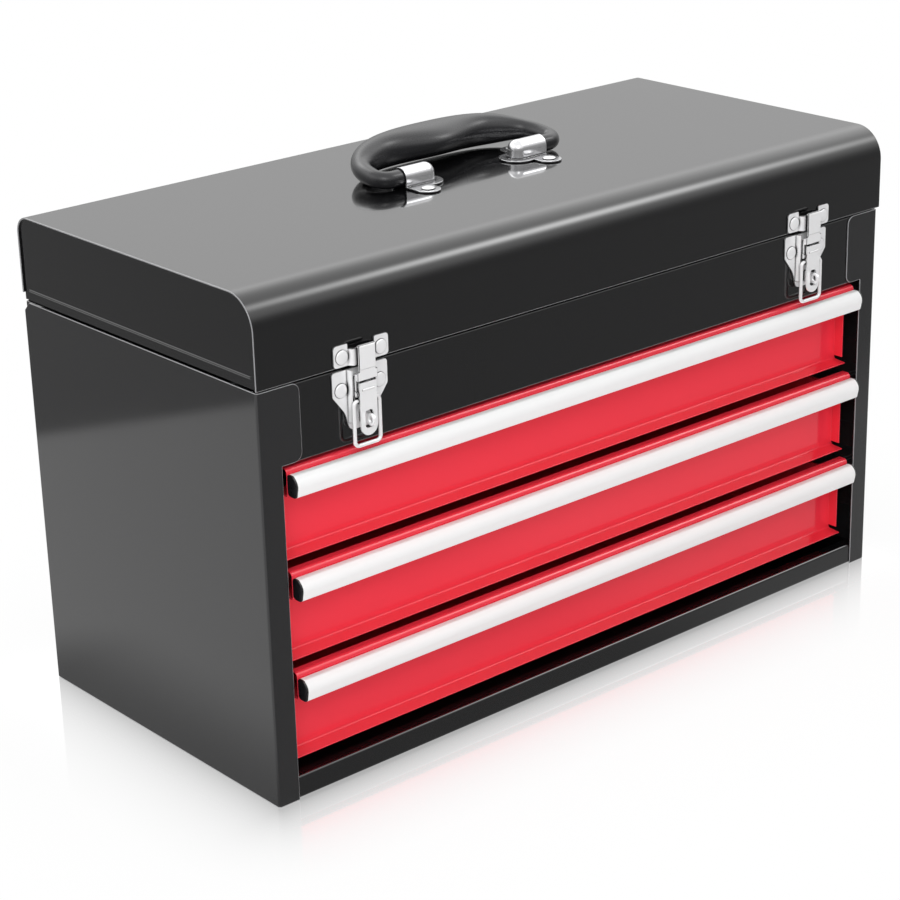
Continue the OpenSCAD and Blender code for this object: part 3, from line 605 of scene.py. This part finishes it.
# Keeper: two ears riveted to the lid and a raised middle, lower than they are, that the hook pulls on
def makeKeeper(side, x):
    y, low = latch["keeperY"], latch["keeperLow"]
    high, out = low + latch["keeperHigh"], y - latch["sheet"]
    shape = bmesh.new()
    for s in (-1, 1):
        lowCorner, highCorner = latch["earCorners"]
        corners = [(x + s * latch["half"], low, latch["corner"]), (x + s * latch["earEdge"], low, lowCorner),
                   (x + s * latch["earEdge"], high, highCorner),
                   (x + s * latch["half"], high, latch["corner"])]
        outline = roundedOutline([tuple(v * mm for v in corner) for corner in corners], latch["bendStep"])
        alongY(shape, outline, y * mm, (out - latch["earProud"]) * mm)
    foot, top, up = latch["hatFoot"], latch["hatTop"], y - latch["hatUp"]
    toe, (footBend, topBend) = latch["hatToe"], latch["hatBends"]
    path = [(x - foot - toe, y), (x - foot, y, footBend), (x - top, up, topBend),
            (x + top, up, topBend), (x + foot, y, footBend), (x + foot + toe, y)]
    section = sheetSection([tuple(v * mm for v in spot) for spot in path], -latch["sheet"] * mm)
    alongZ(shape, section, low * mm, (high - latch["hatDrop"]) * mm)
    made = finishMesh(shape, "keeper_%s_piece" % side)
    made.data.materials.append(nickel)
    # the keeper's cut edges are painted near black, a painted reflection
    roundEdges(made, latch["edge"], edgeMaterial=nickelEdgePaintedDark)
    settle(made, "keeper_" + side)


# A small bar or plate pressed on a latch part, rounded on its outer face
def pressedBar(name, body, x, half, low, high, back, front, corner):
    corners = [(back, low), (front, low, corner), (front, high, corner), (back, high)]
    shape = bmesh.new()
    section = roundedOutline([tuple(v * mm for v in spot) for spot in corners], latch["bendStep"])
    alongX(shape, section, (x - half) * mm, (x + half) * mm)
    made = finishMesh(shape, name)
    made.data.materials.append(nickel)
    roundEdges(made, latch["barEdge"])
    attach(made, body)


def addPinHeads(side, x):
    shape = bmesh.new()
    for s in (-1, 1):
        turn = Matrix.Translation(((x + s * (latch["pinSide"] + latch["pinUp"] / 2)) * mm, latch["pinY"] * mm,
                                   latch["pinZ"] * mm)) @ Matrix.Rotation(math.pi / 2, 4, "Y")
        bmesh.ops.create_cone(shape, cap_ends=True, segments=24, radius1=latch["pinHead"] * mm,
                              radius2=latch["pinHead"] * mm, depth=latch["pinUp"] * mm, matrix=turn)
    made = finishMesh(shape, "hook_pin_heads_" + side)
    made.data.materials.append(nickel)
    # the pin heads' cut edges are painted near black, a painted reflection
    roundEdges(made, latch["pinEdge"], edgeMaterial=nickelEdgePaintedDark)
    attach(made, "lever_" + side)


for side, x in zip(("left", "right"), latch["places"]):
    makeKeeper(side, x)
    # the hook's and lever's cut edges are painted near black, a painted reflection
    dressed("latch_hook_" + side, latch["edge"], edgeMaterial=nickelEdgePaintedDark)
    dressed("latch_lever_" + side, latch["leverEdge"], edgeMaterial=nickelEdgePaintedDark)
    front, root = latch["leverFront"], latch["leverFront"] + latch["barRoot"]
    pressedBar("hook_lip_" + side, "hook_" + side, x, latch["hookHalf"] - latch["lipInset"], *latch["lip"],
               root, front - latch["lipOut"], latch["lipCorner"])
    pressedBar("lever_rib_" + side, "lever_" + side, x, latch["ribHalf"], *latch["rib"],
               root, front - latch["ribOut"], latch["ribCorner"])
    addPinHeads(side, x)
print("latches made")

# Dome-headed rivets; mm
rivets = {"headRadius": 4.3, "headHeight": 1.25, "undercut": 0.3, "underFlat": 0.08, "shankRadius": 2.0,
          "sheets": 1.0, "tailUp": 0.8, "tailOver": 0.9, "latchSheet": 1.0, "latchSpread": 14.0,
          "keeperZ": 263.55, "keeperSeat": -121.0, "baseZ": 243.3, "baseSeat": -119.0, "bracketX": 51.0,
          "bracketY": (-20.5, 14.5), "bracketSeat": 312.3, "bracketSheet": 1.3}


def rivetTree():
    inputs = (("Head Radius", "Float"), ("Head Height", "Float"), ("Undercut", "Float"),
              ("Shank Radius", "Float"), ("Grip", "Float"), ("Lean", "Vector"))
    tree, given = startTree("domeRivets", inputs)
    radius, shank, grip = given["Head Radius"], given["Shank Radius"], given["Grip"]
    ball = addNode(tree, "GeometryNodeMeshUVSphere", {"Segments": 32, "Rings": 16, "Radius": radius})
    place = addNode(tree, "ShaderNodeSeparateXYZ", {0: addNode(tree, "GeometryNodeInputPosition").outputs[0]})
    # the upper half becomes the dome and the lower half a shallow undercut, which leaves a dark line round it
    upper = sums(tree, "GREATER_THAN", place.outputs[2], 0.0)
    squeeze = sums(tree, "DIVIDE", given["Head Height"], radius)
    squeeze = blend(tree, upper, rivets["underFlat"], squeeze)
    rise = sums(tree, "MULTIPLY_ADD", place.outputs[2], squeeze, given["Undercut"])
    spot = addNode(tree, "ShaderNodeCombineXYZ", {0: place.outputs[0], 1: place.outputs[1], 2: rise})
    dome = addNode(tree, "GeometryNodeSetPosition", {"Geometry": ball.outputs[0],
                                                     "Position": spot.outputs[0]})
    dome = addNode(tree, "GeometryNodeSetShadeSmooth", {"Geometry": dome.outputs[0], "Shade Smooth": True})
    tailUp = rivets["tailUp"] * mm
    # the stem ends inside the tail
    depth = sums(tree, "ADD", grip, tailUp / 2)
    stem = addNode(tree, "GeometryNodeMeshCylinder", {"Vertices": 20, "Radius": shank, "Depth": depth})
    stemDrop = addNode(tree, "ShaderNodeCombineXYZ", {2: sums(tree, "MULTIPLY", depth, -0.5)})
    stem = moved(tree, stem, stemDrop)
    wide = sums(tree, "ADD", shank, rivets["tailOver"] * mm)
    tail = addNode(tree, "GeometryNodeMeshCylinder", {"Vertices": 24, "Radius": wide, "Depth": tailUp})
    tailDrop = addNode(tree, "ShaderNodeCombineXYZ", {2: sums(tree, "MULTIPLY_ADD", grip, -1.0, -tailUp / 2)})
    tail = moved(tree, tail, tailDrop)
    rivet = joined(tree, dome.outputs[0], stem.outputs[0], tail.outputs[0])
    lean = addNode(tree, "FunctionNodeEulerToRotation", {0: given["Lean"]})
    placed = addNode(tree, "GeometryNodeInstanceOnPoints", {"Points": given["Geometry"], "Instance": rivet,
                                                            "Rotation": lean.outputs[0]})
    return endTree(tree, placed.outputs[0], given["Material"])


rivetNodes = rivetTree()


def makeRivets(nodeName, places, lean, sheet):
    mesh = bpy.data.meshes.new(nodeName + "_places")
    mesh.from_pydata([tuple(v * mm for v in place) for place in places], [], [])
    made = grown(nodeName + "_piece", mesh, rivetNodes, {
        "Head Radius": rivets["headRadius"] * mm, "Head Height": rivets["headHeight"] * mm,
        "Undercut": rivets["undercut"] * mm, "Shank Radius": rivets["shankRadius"] * mm,
        "Grip": (sheet + rivets["sheets"]) * mm, "Lean": lean, "Material": nickel})
    settle(made, nodeName)


forward, upright = (math.pi / 2, 0.0, 0.0), (0.0, 0.0, 0.0)
pairs = [x + s * rivets["latchSpread"] for x in latch["places"] for s in (-1, 1)]
makeRivets("keeper_rivets", [(x, rivets["keeperSeat"], rivets["keeperZ"]) for x in pairs], forward,
           rivets["latchSheet"])
makeRivets("base_rivets", [(x, rivets["baseSeat"], rivets["baseZ"]) for x in pairs], forward,
           rivets["latchSheet"])
makeRivets("handle_rivets", [(x, y, rivets["bracketSeat"]) for x in (-rivets["bracketX"], rivets["bracketX"])
                             for y in rivets["bracketY"]], upright, rivets["bracketSheet"])
print("rivets set")


# Continuous hinge: two flat leaves whose edges are rolled round the pin in turn; mm
hinge = {"half": 237.5, "pitch": 25.0, "count": 19, "gap": 0.4, "sheet": 1.0, "barrel": 2.5, "leaf": 18.0,
         "axisY": 121.5, "axisZ": 260.0, "bodyY": 119.0, "lidY": 118.0, "edge": 0.15,
         "bodyDrop": 0.6, "lidRise": 0.1, "tab": 1.0,
         "bodyRoll": (270, -310), "lidRoll": (180, -290)}   # where each roll starts and its sweep, degrees


def leafTree():
    inputs = (("Count", "Int"), ("First", "Vector"), ("Step", "Vector"), ("Length", "Float"),
              ("Radius", "Float"), ("Sheet", "Float"), ("Start Angle", "Float"), ("Sweep Angle", "Float"))
    tree, given = startTree("rolledLeaf", inputs)
    arc = addNode(tree, "GeometryNodeCurveArc", {"Resolution": 28, "Radius": given["Radius"],
                                                 "Start Angle": given["Start Angle"],
                                                 "Sweep Angle": given["Sweep Angle"]})
    strip = addNode(tree, "GeometryNodeCurvePrimitiveQuadrilateral", {"Width": given["Sheet"],
                                                                      "Height": given["Length"]})
    roll = addNode(tree, "GeometryNodeCurveToMesh", {"Curve": arc.outputs[0], "Fill Caps": True,
                                                     "Profile Curve": strip.outputs[0]})
    line = addNode(tree, "GeometryNodeMeshLine", {"Count": given["Count"], "Start Location": given["First"],
                                                  "Offset": given["Step"]})
    turn = addNode(tree, "FunctionNodeEulerToRotation", {0: (0.0, math.pi / 2, 0.0)})
    rolls = addNode(tree, "GeometryNodeInstanceOnPoints", {
        "Points": line.outputs[0], "Instance": roll.outputs[0], "Rotation": turn.outputs[0]})
    return endTree(tree, joined(tree, given["Geometry"], rolls.outputs[0]), given["Material"])


leafNodes = leafTree()


def makeLeaf(nodeName, first, flats, tabs, start, sweep):
    x0 = -hinge["half"]
    spots = range(first, hinge["count"], 2)
    shape = bmesh.new()
    addBlock(shape, *[tuple(v * mm for v in corner) for corner in flats])
    for k in spots:
        left = x0 + k * hinge["pitch"] + hinge["gap"] / 2
        right = left + hinge["pitch"] - hinge["gap"]
        for low, high in tabs:
            addBlock(shape, (left * mm, low[0] * mm, low[1] * mm), (right * mm, high[0] * mm, high[1] * mm))
    bmesh.ops.recalc_face_normals(shape, faces=shape.faces)
    mesh = bpy.data.meshes.new(nodeName + "_flat")
    shape.to_mesh(mesh)
    shape.free()
    made = grown(nodeName + "_piece", mesh, leafNodes, {
        "Count": len(spots), "First": ((x0 + (first + 0.5) * hinge["pitch"]) * mm, hinge["axisY"] * mm,
                                       hinge["axisZ"] * mm),
        "Step": (2 * hinge["pitch"] * mm, 0.0, 0.0), "Length": (hinge["pitch"] - hinge["gap"]) * mm,
        "Radius": (hinge["barrel"] - hinge["sheet"] / 2) * mm, "Sheet": hinge["sheet"] * mm,
        "Start Angle": math.radians(start), "Sweep Angle": math.radians(sweep), "Material": zincSteel})
    roundEdges(made, hinge["edge"])
    settle(made, nodeName)


def makeHinge():
    half, axisZ, sheet, tab = hinge["half"], hinge["axisZ"], hinge["sheet"], hinge["tab"]
    y, foot = hinge["bodyY"], axisZ - hinge["barrel"]
    makeLeaf("hinge_body_leaf", 0,
             ((-half, y, foot - hinge["leaf"]), (half, y + sheet, foot - hinge["bodyDrop"])),
             [((y, foot - tab), (y + sheet, axisZ))], *hinge["bodyRoll"])
    y, top = hinge["lidY"], axisZ + hinge["barrel"]
    makeLeaf("hinge_lid_leaf", 1,
             ((-half, y, top + hinge["lidRise"]), (half, y + sheet, top + hinge["leaf"])),
             [((y, top - tab), (hinge["axisY"], top)), ((y, top - tab), (y + sheet, top + tab))],
             *hinge["lidRoll"])
    dressed("hinge_pin", hinge["edge"])


makeHinge()
print("hinge made")

# place and clip in metres, angles in degrees, lens and sensor in mm
camera = {"place": (-0.98707, -1.13463, 0.70258), "azimuth": -40.395, "elevation": 21.166, "roll": -1.531,
          "lens": 97.275, "sensor": 36, "clip": 0.01}


def makeCamera():
    a, e, r = (math.radians(camera[k]) for k in ("azimuth", "elevation", "roll"))
    back = Vector((math.sin(a) * math.cos(e), -math.cos(a) * math.cos(e), math.sin(e)))
    level = (-back).cross(Vector((0, 0, 1))).normalized()
    upright = level.cross(-back)
    right = math.cos(r) * level + math.sin(r) * upright
    up = -math.sin(r) * level + math.cos(r) * upright
    data = bpy.data.cameras.new("camera")
    data.lens = camera["lens"]
    data.sensor_width = camera["sensor"]
    data.clip_start = camera["clip"]
    made = bpy.data.objects.new("camera", data)
    turn = Matrix((right, up, back)).transposed().to_4x4()
    made.matrix_world = Matrix.Translation(camera["place"]) @ turn
    bpy.context.collection.objects.link(made)
    bpy.context.scene.camera = made


makeCamera()

studio = {
    "floorColour": "#f2f2f2",
    "floorHalf": 8.0,
    "floorDrop": 0.0002,        # the floor lies this far under the box's foot
    "footprint": (0.26, 0.119), # half sizes of the box's foot
    "floorGlow": (0.90, 1.0),   # share of plain white in what the camera sees, by the box and away from it
    "glowReach": 0.22,
    "mirror": 0.575,            # share of the floor's reflection at the box's foot
    "mirrorFade": 0.025,        # metres in which it falls to about a third
    "mirrorLoss": 0.02,         # taken off everywhere, so that it comes to an end
    "mirrorRoughness": 0.04,
    "ambient": 0.55,
    # painted reflections: what polished surfaces see of the floor, which glows for them though it is no lamp:
    # dark in front, pale at the left, dark again far back
    "floorFront": 0.20,
    "floorFrontRight": 0.14,    # added towards the right
    "floorLeft": 0.58,
    "floorFar": 0.20,
    # where those shades change, in metres
    "rightFade": (0.0, 0.18),
    "frontFade": (-0.45, -0.3),
    "farSlope": 0.38,           # the far part starts at Y = 0.697 + 0.38 X
    "farStart": 0.697,
    "farFade": (-0.02, 0.02),
    "footFade": (0.0, 0.09),    # painted shade: the left part darkens towards the box, down to this share
    "footShare": 0.5,
    "cornerFade": (-0.03, 0.03),
    # what they see round the room, by the sine of the elevation
    "backWall": ((0.0, 0.46), (0.22, 0.64), (0.30, 0.81), (0.40, 1.05), (0.50, 1.4), (0.62, 1.6),
                 (0.72, 1.5), (0.82, 1.1), (1.0, 1.0)),
    "frontWall": ((0.0, 0.20), (0.10, 0.22), (0.20, 0.28), (0.31, 0.48), (0.42, 0.85), (0.55, 1.1),
                  (1.0, 1.0)),
    "wallFade": (-0.35, 0.15),  # from the front wall to the back one, by the Y of the direction
    # soft boxes seen in them: azimuth from +Y towards +X, elevation, spread in radians, strength
    "softBoxes": ((119, 42, 0.095, 4.4), (5, 46, 0.16, 2.2), (-150, 38, 0.14, 2.6)),
    "lamps": [
        # name, place, aimed at, width, height, watts
        ("keyLamp", (-1.05, -1.45, 1.3), (0, 0, 0.15), 1.4, 1.0, 21),
        ("topLamp", (0.3, 0.4, 2.4), (0, 0, 0.2), 1.8, 1.8, 20),
        ("sideLamp", (-2.6, 0.3, 1.0), (0, 0, 0.15), 1.2, 1.2, 8),
    ],
}


def makeFloor():
    half, low = studio["floorHalf"], -studio["floorDrop"]
    footX, footY = studio["footprint"]
    mesh = bpy.data.meshes.new("floor_mesh")
    mesh.from_pydata([(-half, -half, low), (half, -half, low), (half, half, low), (-half, half, low)], [],
                     [(0, 1, 2, 3)])
    floor = newObject("floor", mesh)
    material, tree, place = startMaterial("white_studio_acrylic")
    spot = addNode(tree, "ShaderNodeSeparateXYZ", {0: place})
    x, y = spot.outputs[0], spot.outputs[1]
    # distance from the box's footprint
    outX, outY = (sums(tree, "MAXIMUM", sums(tree, "SUBTRACT", sums(tree, "ABSOLUTE", at), foot), 0.0)
                  for at, foot in ((x, footX), (y, footY)))
    away = sums(tree, "MULTIPLY_ADD", outX, outX, sums(tree, "MULTIPLY", outY, outY))
    away = sums(tree, "SQRT", away)
    # seen by the camera: paper with its shadow, some plain white and a mirror that fades with distance
    paper = addNode(tree, "ShaderNodeBsdfDiffuse", {"Color": linear(studio["floorColour"])})
    glow = addNode(tree, "ShaderNodeEmission", {"Color": (1, 1, 1, 1), "Strength": 1.0})
    nearGlow, farGlow = studio["floorGlow"]
    whiter = blend(tree, steps(tree, away, 0.0, studio["glowReach"]), nearGlow, farGlow)
    pale = addNode(tree, "ShaderNodeMixShader", {0: whiter, 1: paper.outputs[0], 2: glow.outputs[0]})
    gloss = addNode(tree, "ShaderNodeBsdfGlossy", {"Color": (1, 1, 1, 1),
                                                   "Roughness": studio["mirrorRoughness"]})
    fade = sums(tree, "EXPONENT", sums(tree, "MULTIPLY", away, -1 / studio["mirrorFade"]))
    fade = sums(tree, "MULTIPLY_ADD", fade, studio["mirror"], -studio["mirrorLoss"])
    fade = sums(tree, "MAXIMUM", fade, 0.0)
    seen = addNode(tree, "ShaderNodeMixShader", {0: fade, 1: pale.outputs[0], 2: gloss.outputs[0]})
    # seen by polished surfaces: a painted reflection, the floor glowing for them though it is no lamp, with
    # painted shade by the box's foot
    frontRight = studio["floorFront"] + studio["floorFrontRight"]
    front = blend(tree, steps(tree, x, *studio["rightFade"]), studio["floorFront"], frontRight)
    front = blend(tree, steps(tree, y, *studio["frontFade"]), studio["floorFront"], front)
    beyond = sums(tree, "SUBTRACT", y, studio["farStart"])
    beyond = sums(tree, "MULTIPLY_ADD", x, -studio["farSlope"], beyond)
    left = blend(tree, steps(tree, beyond, *studio["farFade"]), studio["floorLeft"], studio["floorFar"])
    paintedFootShade = blend(tree, steps(tree, away, *studio["footFade"]), studio["footShare"], 1.0)
    left = sums(tree, "MULTIPLY", left, paintedFootShade)
    corner = sums(tree, "SUBTRACT", sums(tree, "ADD", y, footY), sums(tree, "ADD", x, footX))
    shade = blend(tree, steps(tree, corner, *studio["cornerFade"]), front, left)
    polished = addNode(tree, "ShaderNodeEmission", {"Color": (1, 1, 1, 1), "Strength": shade})
    light = addNode(tree, "ShaderNodeLightPath")
    lit = addNode(tree, "ShaderNodeMixShader", {0: light.outputs["Is Glossy Ray"], 1: paper.outputs[0],
                                                2: polished.outputs[0]})
    shown = addNode(tree, "ShaderNodeMixShader", {0: light.outputs["Is Camera Ray"], 1: lit.outputs[0],
                                                  2: seen.outputs[0]})
    endMaterial(material, tree, shown)
    mesh.materials.append(material)


def makeLamps():
    for name, place, aim, width, height, watts in studio["lamps"]:
        data = bpy.data.lights.new(name, "AREA")
        data.shape = "RECTANGLE"
        data.size, data.size_y = width, height
        data.energy = watts
        lamp = bpy.data.objects.new(name, data)
        lamp.location = place
        lamp.rotation_euler = (Vector(aim) - Vector(place)).to_track_quat("-Z", "Y").to_euler()
        lamp.visible_glossy = False     # the room's soft boxes stand in for it in reflections
        bpy.context.collection.objects.link(lamp)


def wallShade(tree, height, stops):
    ramp = addNode(tree, "ShaderNodeValToRGB", {0: height})
    ramp.color_ramp.interpolation = "B_SPLINE"
    bands = ramp.color_ramp.elements
    while len(bands) < len(stops):
        bands.new(0.5)
    for band, (at, value) in zip(bands, stops):
        band.position = at
        band.color = (value / 2, value / 2, value / 2, 1)    # halved, a ramp holds 0 to 1
    return ramp.outputs[0]


def makeWorld():
    world = bpy.data.worlds.new("studio")
    bpy.context.scene.world = world
    world.use_nodes = True
    tree = world.node_tree
    tree.nodes.clear()
    towards = addNode(tree, "ShaderNodeTexCoord").outputs["Generated"]
    split = addNode(tree, "ShaderNodeSeparateXYZ", {0: towards})
    back = wallShade(tree, split.outputs[2], studio["backWall"])
    front = wallShade(tree, split.outputs[2], studio["frontWall"])
    walls = blend(tree, steps(tree, split.outputs[1], *studio["wallFade"]), front, back)
    room = sums(tree, "MULTIPLY", walls, 2.0)   # doubled again after the ramps
    for azimuth, elevation, spread, strength in studio["softBoxes"]:
        a, e = math.radians(azimuth), math.radians(elevation)
        aim = (math.sin(a) * math.cos(e), math.cos(a) * math.cos(e), math.sin(e))
        near = addNode(tree, "ShaderNodeVectorMath", {0: towards, 1: aim}, operation="DOT_PRODUCT")
        short = sums(tree, "SUBTRACT", near.outputs["Value"], 1.0)
        fall = sums(tree, "EXPONENT", sums(tree, "MULTIPLY", short, 1 / spread ** 2))
        room = sums(tree, "MULTIPLY_ADD", fall, strength, room)
    light = addNode(tree, "ShaderNodeLightPath")
    plain = blend(tree, light.outputs["Is Camera Ray"], studio["ambient"], 1.0)
    strength = blend(tree, light.outputs["Is Glossy Ray"], plain, room)
    sky = addNode(tree, "ShaderNodeBackground", {"Color": (1, 1, 1, 1), "Strength": strength})
    addNode(tree, "ShaderNodeOutputWorld", {"Surface": sky.outputs[0]})


makeFloor()
makeLamps()
makeWorld()
bpy.context.scene.view_settings.view_transform = "Standard"
print("studio made")
